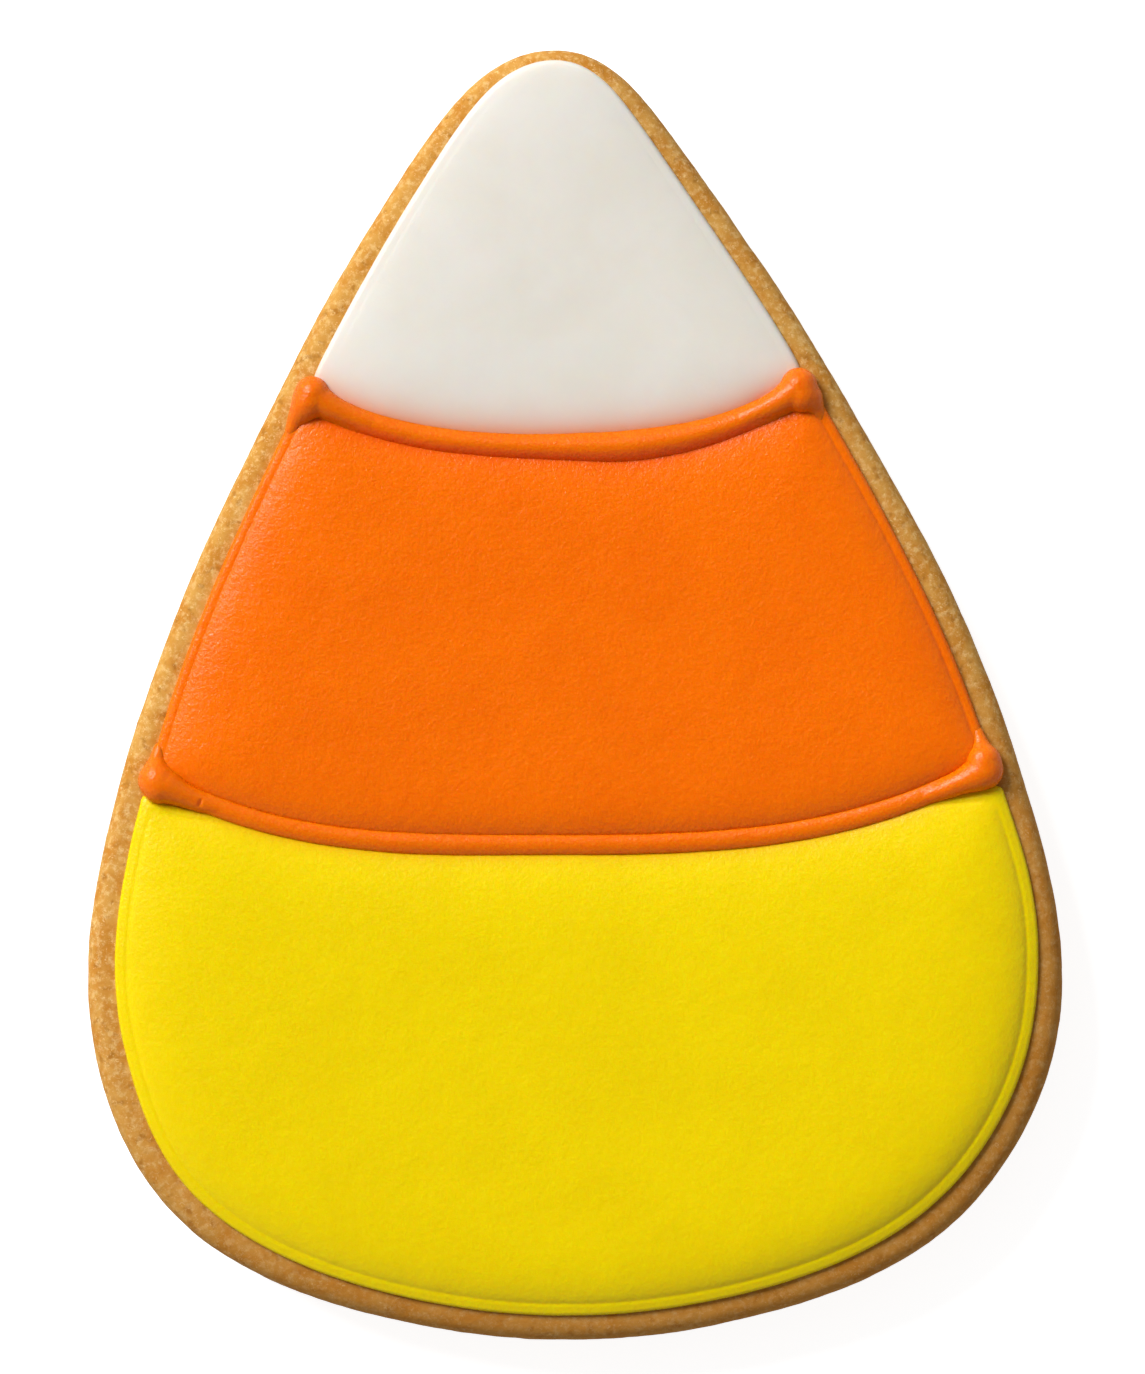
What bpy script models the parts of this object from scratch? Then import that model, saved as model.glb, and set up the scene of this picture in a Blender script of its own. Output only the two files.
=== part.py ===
"""An iced sugar cookie, lying face up with its narrow tip towards +Y.

The cookie is a rounded cone of baked dough. Three flooded fields of royal icing cover it, white at the
tip, orange in the middle and yellow at the base, and two piped borders with round ends part them. Each
field is one solid with the thin piped outline that held it in while it was wet.
"""

import math
from dataclasses import dataclass

import bmesh
import bpy
import numpy as np

MM = 0.001

# Room between pieces that touch, and the distance under which points are one, in millimetres
GAP = 0.3
WELD = 0.01

# Cookie outline, in millimetres: where its two edges stand beside the long axis, from the tip to the
# base. The stations lie below even turns of a half circle on that axis, so they crowd towards its ends.
LENGTH = 95.0
LEFT_EDGE = (-1.6, -6.4, -10.8, -15.7, -21.1, -26.7, -31.6, -35.0, -35.8, -32.9, -26.0, -14.0, -0.7)
RIGHT_EDGE = (-1.6, 2.9, 7.1, 12.5, 18.8, 25.3, 30.9, 34.7, 35.7, 32.2, 24.8, 12.7, -0.7)
OUTLINE_POINTS = 128

# Cookie body: flat underside, soft upper edge
THICKNESS = 7.0
UPPER_ROUND = 2.3
LOWER_ROUND = 0.9
FOOT_DRAFT = 0.35

# Bare rim of cookie that the icing leaves, wider towards the base and pinched on the right
RIM = 1.6
RIM_GROWTH = 0.55
RIM_AT_TIP = 0.85
RIM_TAPER = 4.5
RIM_PINCH = 0.45
PINCH_DEPTH = 61.0
PINCH_LENGTH = 7.0

# Flooded icing: a piped outline with a shallow groove behind it, then a field that swells to its crown
OUTLINE_WIDTH = 0.75
OUTLINE_HEIGHT = 0.92
WALL_SHARE = 0.5
GROOVE_HEIGHT = 0.84
CROWN_HEIGHT = 2.0
SHOULDER = 2.2
RING_INSETS = (0.0, 0.14, 0.38, 0.75, 1.4, 2.4, 3.8, 5.6)
INSET_STEP = 0.4
SMOOTHING = 0.5
POINT_SPACING = 1.35
EDGE_SAMPLES = 700

# Piped borders: a flat foot under an arch whose crest rises with its width, rounded off at the ends
ARCH_POINTS = 7
ARCH_POWER = 0.8
STATION_SPACING = 1.3
KNOB_STATIONS = 4
KNOB_FIRST_TURN = 0.25
KNOB_POWER = 0.4
CREST_BASE = 1.7
CREST_PER_WIDTH = 0.62


@dataclass(frozen=True)
class Border:
    """A piped border that sags in a shallow curve between two round ends, in millimetres."""

    lowest: tuple
    left: tuple
    right: tuple
    powers: tuple
    knobs: tuple
    half_width: float
    swell: float
    swell_at: float
    swell_length: float


UPPER = Border(
    lowest=(1.6, 18.3), left=(-19.4, 21.65), right=(16.6, 22.2), powers=(3.0, 2.05), knobs=(1.4, 1.5),
    half_width=0.77, swell=0.36, swell_at=4.8, swell_length=7.2,
)
LOWER = Border(
    lowest=(-3.7, -11.0), left=(-30.35, -6.35), right=(29.95, -5.3), powers=(2.8, 2.8), knobs=(1.45, 1.5),
    half_width=0.66, swell=0.06, swell_at=-10.0, swell_length=6.0,
)

COLOURS = {
    "cookie": (0.60, 0.34, 0.11),
    "white_icing": (0.78, 0.74, 0.66),
    "orange_icing": (0.88, 0.19, 0.01),
    "yellow_icing": (0.85, 0.63, 0.01),
    "upper_border": (0.88, 0.20, 0.02),
    "lower_border": (0.86, 0.19, 0.02),
}
COOKIE_ROUGHNESS = 0.85
ICING_ROUGHNESS = 0.42
SHARP_ANGLE = math.radians(50)


def cookie_outline(count):
    """The cookie's edge as a ring of points, counter-clockwise from the tip, centred in its box."""
    stations = np.array(LEFT_EDGE[:-1] + RIGHT_EDGE[:0:-1])
    smooth = np.fft.irfft(np.fft.rfft(stations), count) * count / len(stations)
    turn = np.linspace(0, 2 * math.pi, count, endpoint=False)
    ring = np.stack([smooth, LENGTH / 2 * np.cos(turn)], axis=1)
    return ring - (ring.min(axis=0) + ring.max(axis=0)) / 2


def inward(ring):
    """Unit vectors from each point of a counter-clockwise ring to its inside."""
    along = np.roll(ring, -1, axis=0) - np.roll(ring, 1, axis=0)
    normal = np.stack([-along[:, 1], along[:, 0]], axis=1)
    return normal / np.linalg.norm(normal, axis=1, keepdims=True)


def even_out(ring, count):
    """The same ring with a number of points at even distances, from its first point on."""
    closed = np.vstack([ring, ring[:1]])
    travelled = np.concatenate([[0.0], np.cumsum(np.linalg.norm(np.diff(closed, axis=0), axis=1))])
    places = np.linspace(0, travelled[-1], count, endpoint=False)
    return np.stack([np.interp(places, travelled, closed[:, axis]) for axis in (0, 1)], axis=1)


def shrink(ring, distance):
    """A ring moved inwards in short steps, and smoothed after each so that its corners turn round."""
    steps = math.ceil(distance / INSET_STEP)
    for _ in range(steps):
        step = distance / steps
        moved = ring + inward(ring) * step
        neighbours = (np.roll(moved, 1, axis=0) + np.roll(moved, -1, axis=0)) / 2
        ring = even_out(moved + (neighbours - moved) * SMOOTHING * step / INSET_STEP, len(ring))
    return ring


def iced_edge():
    """The ring where the icing ends on the cookie."""
    ring = cookie_outline(4 * OUTLINE_POINTS)
    depth = LENGTH / 2 - ring[:, 1]
    width = RIM + RIM_GROWTH * depth / LENGTH - (RIM - RIM_AT_TIP) * np.exp(-depth / RIM_TAPER)
    pinch = RIM_PINCH * np.exp(-(((depth - PINCH_DEPTH) / PINCH_LENGTH) ** 2))
    width = width - np.where(ring[:, 0] > 0, pinch, 0.0)
    return ring + inward(ring) * width[:, None]


def half_of(ring, x, upper):
    """The height in Y of a ring's upper or lower half above each x."""
    first, last = ring[:, 0].argmin(), ring[:, 0].argmax()
    start, stop = (last, first) if upper else (first, last)
    half = np.roll(ring, -start, axis=0)[: (stop - start) % len(ring) + 1]
    order = half[:, 0].argsort()
    return np.interp(x, half[order, 0], half[order, 1])


def middle_line(border, x):
    """The height in Y of a border's middle line above each x."""
    low_x, low_y = border.lowest
    left_of_low = x < low_x
    end_x = np.where(left_of_low, border.left[0], border.right[0])
    end_y = np.where(left_of_low, border.left[1], border.right[1])
    power = np.where(left_of_low, *border.powers)
    return low_y + (end_y - low_y) * np.abs((x - low_x) / (end_x - low_x)) ** power


def border_edges(border, x, grow=0.0):
    """The lower and upper edge in Y of a border above each x, with its round ends."""
    middle = middle_line(border, x)
    swell = border.swell * np.exp(-(((x - border.swell_at) / border.swell_length) ** 2))
    slope = np.gradient(middle, x)
    half = (border.half_width + swell + grow) * np.hypot(1, slope)
    half = np.where((x > border.left[0]) & (x < border.right[0]), half, 0.0)
    lower, upper = middle - half, middle + half
    for centre, radius in zip((border.left, border.right), border.knobs):
        inside = (radius + grow) ** 2 - (x - centre[0]) ** 2
        reach = np.sqrt(np.maximum(inside, 0.0))
        lower = np.where(inside > 0, np.minimum(lower, centre[1] - reach), lower)
        upper = np.where(inside > 0, np.maximum(upper, centre[1] + reach), upper)
    return lower, upper


def field_outline(above, below):
    """The ring round the field of icing between two borders, where either may be missing."""
    edge = iced_edge()
    turn = np.linspace(0, math.pi, EDGE_SAMPLES)
    x = (edge[:, 0].min() + edge[:, 0].max()) / 2 - np.ptp(edge[:, 0]) / 2 * np.cos(turn)
    top, bottom = half_of(edge, x, True), half_of(edge, x, False)
    if above is not None:
        top = np.minimum(top, border_edges(above, x, GAP)[0])
    if below is not None:
        bottom = np.maximum(bottom, border_edges(below, x, GAP)[1])
    kept = top > bottom
    x, top, bottom = x[kept], top[kept], bottom[kept]
    ring = np.vstack([np.stack([x, bottom], axis=1), np.stack([x, top], axis=1)[::-1]])
    ring = np.roll(ring, -len(x) // 2, axis=0)
    length = np.linalg.norm(np.roll(ring, -1, axis=0) - ring, axis=1).sum()
    return even_out(ring, round(length / POINT_SPACING))


def field_height(inset):
    """The height of the icing over the cookie at a distance from the edge of its field."""
    if inset <= OUTLINE_WIDTH / 2:
        rounding = math.sqrt(inset / (OUTLINE_WIDTH / 2))
        return OUTLINE_HEIGHT * (WALL_SHARE + (1 - WALL_SHARE) * rounding)
    if inset <= OUTLINE_WIDTH:
        return GROOVE_HEIGHT
    return CROWN_HEIGHT - (CROWN_HEIGHT - GROOVE_HEIGHT) * math.exp((OUTLINE_WIDTH - inset) / SHOULDER)


def raised(ring, height):
    """A flat ring lifted to a height, as points in space."""
    return np.column_stack([ring, np.full(len(ring), height)])


def loft(name, sections):
    """A closed solid through sections with the same number of points, capped at both ends."""
    solid = bmesh.new()
    loops = [[solid.verts.new(point * MM) for point in section] for section in sections]
    for first, second in zip(loops, loops[1:]):
        for here in range(len(first)):
            after = (here + 1) % len(first)
            solid.faces.new((first[here], first[after], second[after], second[here]))
    solid.faces.new(reversed(loops[0]))
    solid.faces.new(loops[-1])
    bmesh.ops.recalc_face_normals(solid, faces=solid.faces)
    mesh = bpy.data.meshes.new(name)
    solid.to_mesh(mesh)
    solid.free()
    return mesh


def make_cookie():
    """The dough: its outline extruded, with a soft upper edge, a tighter lower one and a drawn-in foot."""
    curve = bpy.data.curves.new("cookie_outline", "CURVE")
    curve.dimensions = "2D"
    curve.fill_mode = "BOTH"
    curve.extrude = THICKNESS / 2 * MM
    ring = even_out(cookie_outline(4 * OUTLINE_POINTS), OUTLINE_POINTS)
    spline = curve.splines.new("POLY")
    spline.points.add(len(ring) - 1)
    for point, (x, y) in zip(spline.points, ring):
        point.co = (x * MM, y * MM, 0, 1)
    spline.use_cyclic_u = True
    guide = bpy.data.objects.new("cookie_outline", curve)
    bpy.context.scene.collection.objects.link(guide)
    bpy.context.view_layer.update()
    mesh = bpy.data.meshes.new_from_object(guide.evaluated_get(bpy.context.evaluated_depsgraph_get()))
    bpy.data.objects.remove(guide)

    solid = bmesh.new()
    solid.from_mesh(mesh)
    bmesh.ops.translate(solid, verts=solid.verts, vec=(0, 0, THICKNESS / 2 * MM))
    bmesh.ops.remove_doubles(solid, verts=solid.verts, dist=WELD * MM)
    bmesh.ops.dissolve_limit(solid, angle_limit=math.radians(1), verts=solid.verts, edges=solid.edges)
    soften_edge(solid, THICKNESS, UPPER_ROUND, 4)
    soften_edge(solid, 0.0, LOWER_ROUND, 2)
    foot = [vert for vert in solid.verts if vert.co.z < LOWER_ROUND / 2 * MM]
    shrunk = 1 - FOOT_DRAFT / (LENGTH / 2)
    bmesh.ops.scale(solid, verts=foot, vec=(shrunk, shrunk, 1))
    bmesh.ops.recalc_face_normals(solid, faces=solid.faces)
    solid.to_mesh(mesh)
    solid.free()
    return mesh


def soften_edge(solid, height, width, segments):
    """Rounds all the edges that lie at a height."""
    edges = [
        edge for edge in solid.edges
        if all(abs(vert.co.z - height * MM) < WELD * MM for vert in edge.verts)
    ]
    bmesh.ops.bevel(
        solid, geom=edges, offset=width * MM, offset_type="OFFSET", segments=segments, profile=0.5,
        affect="EDGES", clamp_overlap=False,
    )


def make_field(name, above, below):
    """One flooded field: rings that step inwards and upwards from its edge to its crown."""
    ring = field_outline(above, below)
    sections = [raised(ring, THICKNESS + GAP)]
    taken = 0.0
    for inset in RING_INSETS:
        ring = shrink(ring, inset - taken)
        taken = inset
        sections.append(raised(ring, THICKNESS + field_height(inset)))
    return loft(name, sections)


def border_stations(border):
    """The x of each cross section of a border, closer together round its ends."""
    turn = np.linspace(KNOB_FIRST_TURN, math.pi / 2, KNOB_STATIONS)
    left = border.left[0] - border.knobs[0] * np.cos(turn)
    right = border.right[0] + border.knobs[1] * np.cos(turn)
    count = round((border.right[0] - border.left[0]) / STATION_SPACING)
    between = np.linspace(border.left[0], border.right[0], count)[1:-1]
    return np.concatenate([left, between, right[::-1]])


def make_border(name, border):
    """One piped border: arched cross sections along its middle line, each flat underneath."""
    fine = np.linspace(border.left[0] - border.knobs[0], border.right[0] + border.knobs[1], EDGE_SAMPLES)
    lower, upper = border_edges(border, fine)
    angles = np.linspace(0, math.pi, ARCH_POINTS)
    sections = []
    for x in border_stations(border):
        low, high = np.interp(x, fine, lower), np.interp(x, fine, upper)
        middle, half = (low + high) / 2, (high - low) / 2
        crest = CREST_BASE + CREST_PER_WIDTH * half
        if not border.left[0] < x < border.right[0]:
            crest *= (half / max(border.knobs)) ** KNOB_POWER
        y = middle + half * np.cos(angles)
        z = THICKNESS + GAP + (crest - GAP) * np.sin(angles) ** ARCH_POWER
        sections.append(np.column_stack([np.full(ARCH_POINTS, x), y, z]))
    return loft(name, sections)


def finish(name):
    """A plain surface in the colour of one piece."""
    material = bpy.data.materials.new(name)
    material.use_nodes = True
    shader = material.node_tree.nodes["Principled BSDF"]
    shader.inputs["Base Color"].default_value = (*COLOURS[name], 1.0)
    roughness = COOKIE_ROUGHNESS if name == "cookie" else ICING_ROUGHNESS
    shader.inputs["Roughness"].default_value = roughness
    shader.inputs["Metallic"].default_value = 0.0
    return material


def place(name, mesh, collection):
    """Adds one piece to the model, smooth where its surface is round."""
    piece = bpy.data.objects.new(name, mesh)
    mesh.materials.clear()
    mesh.materials.append(finish(name))
    mesh.shade_smooth()
    mesh.set_sharp_from_angle(angle=SHARP_ANGLE)
    collection.objects.link(piece)


def main():
    for old in list(bpy.data.objects):
        bpy.data.objects.remove(old)
    collection = bpy.data.collections.new("iced_sugar_cookie")
    bpy.context.scene.collection.children.link(collection)

    place("cookie", make_cookie(), collection)
    place("white_icing", make_field("white_icing", None, UPPER), collection)
    place("orange_icing", make_field("orange_icing", UPPER, LOWER), collection)
    place("yellow_icing", make_field("yellow_icing", LOWER, None), collection)
    place("upper_border", make_border("upper_border", UPPER), collection)
    place("lower_border", make_border("lower_border", LOWER), collection)


main()
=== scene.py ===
"""The looks of an iced sugar cookie: baked dough, three flooded fields of icing and two piped borders.

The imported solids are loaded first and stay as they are. Each piece below replaces one of them and is
modelled in its place, from the same sizes. Sizes are in millimetres until a mesh is written, +Z is up
and the narrow tip points to +Y.
"""

import logging
import math
from dataclasses import dataclass, field
from enum import Enum
from typing import Sequence

import bpy
import numpy as np
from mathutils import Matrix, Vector
from mathutils.kdtree import KDTree


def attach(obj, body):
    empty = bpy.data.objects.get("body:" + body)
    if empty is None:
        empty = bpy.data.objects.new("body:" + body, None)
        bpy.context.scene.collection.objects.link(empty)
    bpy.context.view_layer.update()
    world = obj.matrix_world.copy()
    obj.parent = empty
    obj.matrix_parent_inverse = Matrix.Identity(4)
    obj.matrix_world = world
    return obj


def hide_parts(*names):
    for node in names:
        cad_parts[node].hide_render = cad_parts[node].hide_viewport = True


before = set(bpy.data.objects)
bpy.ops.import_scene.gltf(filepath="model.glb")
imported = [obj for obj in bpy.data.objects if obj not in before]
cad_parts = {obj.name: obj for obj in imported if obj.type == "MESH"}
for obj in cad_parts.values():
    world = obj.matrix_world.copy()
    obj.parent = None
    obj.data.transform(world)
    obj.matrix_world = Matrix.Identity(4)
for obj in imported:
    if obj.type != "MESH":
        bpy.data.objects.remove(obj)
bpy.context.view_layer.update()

log = logging.getLogger("iced_sugar_cookie")

Ring = np.ndarray
Colour = tuple[float, float, float]
Place = tuple[float, float]

MM = 0.001
BODY = "root"

# The way in which the flooded icing has settled a little, to the cookie's lower right
LEAN_WAY = np.array([math.sqrt(0.5), -math.sqrt(0.5)])

# A new ring of points and the rise of each ring that is extruded from it
START_RADIUS = 40.0
RING_RISE = 1.0

# How many points are worked out along the cookie's edge, and along a seam between two fields
EDGE_POINTS = 1024
SEAM_POINTS = 900

# The stretch of a line over which its slope is measured
SLOPE_STEP = 0.1

# What counts as 0 after rounding
NOTHING = 1e-6

# The pattern that makes a surface uneven: its finer layers, and its value where the surface stays
RELIEF_DEPTH = 2
RELIEF_MIDDLE = 0.5

# A layer of unevenness: the size of its pattern and how far it moves the surface
Relief = tuple[float, float]


class Slot(Enum):
    """The names of the material slots."""

    DOUGH = "baked_dough"
    WHITE = "white_icing"
    ORANGE = "orange_icing"
    YELLOW = "yellow_icing"
    PIPING = "orange_piping"


# Rings of points in the plane

def inward(ring: Ring) -> Ring:
    """Finds the way to the inside of a counter-clockwise ring.

    Args:
        ring: Points of the ring, two numbers each.

    Returns:
        A unit vector for each point.
    """
    along = np.roll(ring, -1, axis=0) - np.roll(ring, 1, axis=0)
    normal = np.stack([-along[:, 1], along[:, 0]], axis=1)
    return normal / np.linalg.norm(normal, axis=1, keepdims=True)


def even_out(ring: Ring, count: int) -> Ring:
    """Spaces the points of a ring evenly.

    Args:
        ring: Points of the ring.
        count: How many points the new ring has.

    Returns:
        The new ring, which starts at the same point.
    """
    closed = np.vstack([ring, ring[:1]])
    travelled = np.concatenate([[0.0], np.cumsum(np.linalg.norm(np.diff(closed, axis=0), axis=1))])
    places = np.linspace(0, travelled[-1], count, endpoint=False)
    return np.stack([np.interp(places, travelled, closed[:, axis]) for axis in (0, 1)], axis=1)


def relaxed(ring: Ring, passes: int) -> Ring:
    """Rounds the corners of a ring.

    Args:
        ring: Points of the ring.
        passes: How often each point moves half way to the middle of its neighbours.

    Returns:
        The rounded ring.
    """
    for _ in range(passes):
        ring = ring / 2 + (np.roll(ring, 1, axis=0) + np.roll(ring, -1, axis=0)) / 4
    return ring


def shrink(ring: Ring, distance: float, step_length: float = 0.1, smoothing: float = 0.5) -> Ring:
    """Moves a ring inwards in short steps and smooths it after each, so that its corners turn round.

    Args:
        ring: Points of the ring, evenly spaced.
        distance: How far it moves.
        step_length: The longest single step.
        smoothing: How strongly a full step smooths the ring.

    Returns:
        The smaller ring, with as many points.
    """
    steps = math.ceil(distance / step_length)
    for _ in range(steps):
        step = distance / steps
        moved = ring + inward(ring) * step
        neighbours = (np.roll(moved, 1, axis=0) + np.roll(moved, -1, axis=0)) / 2
        ring = even_out(moved + (neighbours - moved) * smoothing * step / step_length, len(ring))
    return ring


def half_of(ring: Ring, x: np.ndarray, upper: bool) -> np.ndarray:
    """Reads the upper or lower half of a ring.

    Args:
        ring: Points of a counter-clockwise ring.
        x: Where to read it.
        upper: Whether its upper half is read.

    Returns:
        The Y of that half above each x.
    """
    first, last = ring[:, 0].argmin(), ring[:, 0].argmax()
    start, stop = (last, first) if upper else (first, last)
    half = np.roll(ring, -start, axis=0)[: (stop - start) % len(ring) + 1]
    order = half[:, 0].argsort()
    return np.interp(x, half[order, 0], half[order, 1])


def nearest(points: np.ndarray, ring: Ring) -> tuple[np.ndarray, np.ndarray]:
    """Measures how far points are from a ring, in the plane.

    Args:
        points: The points, of which the first two numbers count.
        ring: The ring, which is made four times as dense first.

    Returns:
        For each point its distance, and the number of the ring's point before the nearest place.
    """
    dense = even_out(ring, 4 * len(ring))
    tree = KDTree(len(dense))
    for index, (x, y) in enumerate(dense):
        tree.insert((x, y, 0), index)
    tree.balance()
    found = [tree.find((x, y, 0)) for x, y in points[:, :2]]
    return np.array([hit[2] for hit in found]), np.array([hit[1] // 4 for hit in found])


# Modelling by hand: each of these does one step of it

def deselect_all() -> None:
    """Leaves nothing selected."""
    bpy.ops.object.select_all(action="DESELECT")


def coordinates(piece: bpy.types.Object) -> np.ndarray:
    """Reads the places of a piece's points.

    Args:
        piece: A mesh object in object mode.

    Returns:
        Its places in millimetres, three numbers each.
    """
    flat = np.empty(len(piece.data.vertices) * 3, np.float32)
    piece.data.vertices.foreach_get("co", flat)
    return flat.reshape(-1, 3).astype(float) / MM


def put_coordinates(piece: bpy.types.Object, places: np.ndarray) -> None:
    """Moves all the points of a piece to places given in millimetres."""
    piece.data.vertices.foreach_set("co", (places * MM).astype(np.float32).ravel())
    piece.data.update()


def select_points(piece: bpy.types.Object, chosen: np.ndarray) -> None:
    """Selects some points of a piece, and the edges between them, and nothing else.

    Args:
        piece: A mesh object in object mode.
        chosen: The numbers of the points.
    """
    mesh = piece.data
    picked = np.zeros(len(mesh.vertices), bool)
    picked[chosen] = True
    ends = np.empty(len(mesh.edges) * 2, np.int32)
    mesh.edges.foreach_get("vertices", ends)
    mesh.polygons.foreach_set("select", np.zeros(len(mesh.polygons), bool))
    mesh.edges.foreach_set("select", picked[ends.reshape(-1, 2)].all(axis=1))
    mesh.vertices.foreach_set("select", picked)


def start_tower(name: str, points: int, levels: int) -> bpy.types.Object:
    """Adds a ring and extrudes it straight up again and again.

    Args:
        name: The name of the new piece.
        points: How many points a ring has.
        levels: How many rings the tower has.

    Returns:
        The new piece, open at both ends.
    """
    deselect_all()
    bpy.ops.mesh.primitive_circle_add(vertices=points, radius=START_RADIUS * MM, fill_type="NOTHING")
    piece = bpy.context.object
    piece.name = piece.data.name = name
    bpy.ops.object.mode_set(mode="EDIT")
    bpy.ops.mesh.select_all(action="SELECT")
    for _ in range(levels - 1):
        bpy.ops.mesh.extrude_edges_move(TRANSFORM_OT_translate={"value": (0, 0, RING_RISE * MM)})
    bpy.ops.object.mode_set(mode="OBJECT")
    return piece


def shape_tower(piece: bpy.types.Object, rings: np.ndarray) -> np.ndarray:
    """Moves each ring of a straight tower to its place.

    Args:
        piece: A piece from start_tower.
        rings: The new places, by level and by point, counter-clockwise from the tower's +Y side.

    Returns:
        The number of the mesh point at each level and point.
    """
    levels, points = rings.shape[:2]
    places = coordinates(piece)
    level = np.rint(places[:, 2] / RING_RISE).astype(int)
    turn = np.arctan2(-places[:, 0], places[:, 1]) / (2 * math.pi)
    point = np.rint(turn * points).astype(int) % points
    numbers = np.empty((levels, points), int)
    numbers[level, point] = np.arange(len(places))
    put_coordinates(piece, rings[level, point])
    return numbers


def close_with_grid(piece: bpy.types.Object, ring: np.ndarray) -> np.ndarray:
    """Fills an open ring of points with a grid of four-sided faces.

    Args:
        piece: The piece.
        ring: The numbers of the ring's points.

    Returns:
        The numbers of the new points inside the ring.
    """
    before = len(piece.data.vertices)
    select_points(piece, ring)
    bpy.ops.object.mode_set(mode="EDIT")
    bpy.ops.mesh.fill_grid()
    bpy.ops.object.mode_set(mode="OBJECT")
    return np.arange(before, len(piece.data.vertices))


def close_flat(piece: bpy.types.Object, ring: np.ndarray) -> None:
    """Closes an open ring of points with one face.

    Args:
        piece: The piece.
        ring: The numbers of the ring's points.
    """
    select_points(piece, ring)
    bpy.ops.object.mode_set(mode="EDIT")
    bpy.ops.mesh.edge_face_add()
    bpy.ops.object.mode_set(mode="OBJECT")


def smooth_sideways(piece: bpy.types.Object, chosen: np.ndarray, passes: int) -> None:
    """Smooths some points of a piece, which keep their height.

    Args:
        piece: The piece.
        chosen: The numbers of the points.
        passes: How often they are smoothed.
    """
    select_points(piece, chosen)
    bpy.ops.object.mode_set(mode="EDIT")
    bpy.ops.mesh.vertices_smooth(factor=0.5, repeat=passes, xaxis=True, yaxis=True, zaxis=False)
    bpy.ops.object.mode_set(mode="OBJECT")


def face_outwards(piece: bpy.types.Object) -> None:
    """Turns all the faces of a closed piece outwards.

    Args:
        piece: The piece.
    """
    make_active(piece)
    bpy.ops.object.mode_set(mode="EDIT")
    bpy.ops.mesh.select_all(action="SELECT")
    bpy.ops.mesh.normals_make_consistent(inside=False)
    bpy.ops.mesh.select_all(action="DESELECT")
    bpy.ops.object.mode_set(mode="OBJECT")


def note(piece: bpy.types.Object, name: str, values: np.ndarray) -> None:
    """Keeps one value for each point of a piece under a name, for its material to read."""
    noted = piece.data.attributes.new(name, "FLOAT", "POINT")
    noted.data.foreach_set("value", values.astype(np.float32))


def make_active(piece: bpy.types.Object) -> None:
    """Selects one piece alone, for the operators that follow.

    Args:
        piece: The piece.
    """
    deselect_all()
    piece.select_set(True)
    bpy.context.view_layer.objects.active = piece


def roughen(piece: bpy.types.Object, relief: Relief) -> None:
    """Moves the surface in and out by a cloudy pattern.

    Args:
        piece: The piece.
        relief: The size of the pattern, and how far the surface moves between its lowest and its
            highest value.
    """
    grain, strength = relief
    texture = bpy.data.textures.new(f"{piece.name}_relief", "CLOUDS")
    texture.noise_scale = grain * MM
    texture.noise_depth = RELIEF_DEPTH
    make_active(piece)
    modifier = piece.modifiers.new("relief", "DISPLACE")
    modifier.texture = texture
    modifier.texture_coords = "LOCAL"
    modifier.strength = strength * MM
    modifier.mid_level = RELIEF_MIDDLE
    bpy.ops.object.modifier_apply(modifier=modifier.name)


def hand_over(piece: bpy.types.Object, node: str, material: bpy.types.Material) -> None:
    """Puts a finished piece in the place of its solid.

    Args:
        piece: The finished piece.
        node: The solid that it replaces.
        material: Its finish.
    """
    piece.data.materials.clear()
    piece.data.materials.append(material)
    make_active(piece)
    bpy.ops.object.shade_smooth()
    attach(piece, BODY)
    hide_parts(node)
    triangles = sum(len(face.vertices) - 2 for face in piece.data.polygons)
    log.info("%s replaces %s: %d triangles", piece.name, node, triangles)


# Finishes

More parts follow.
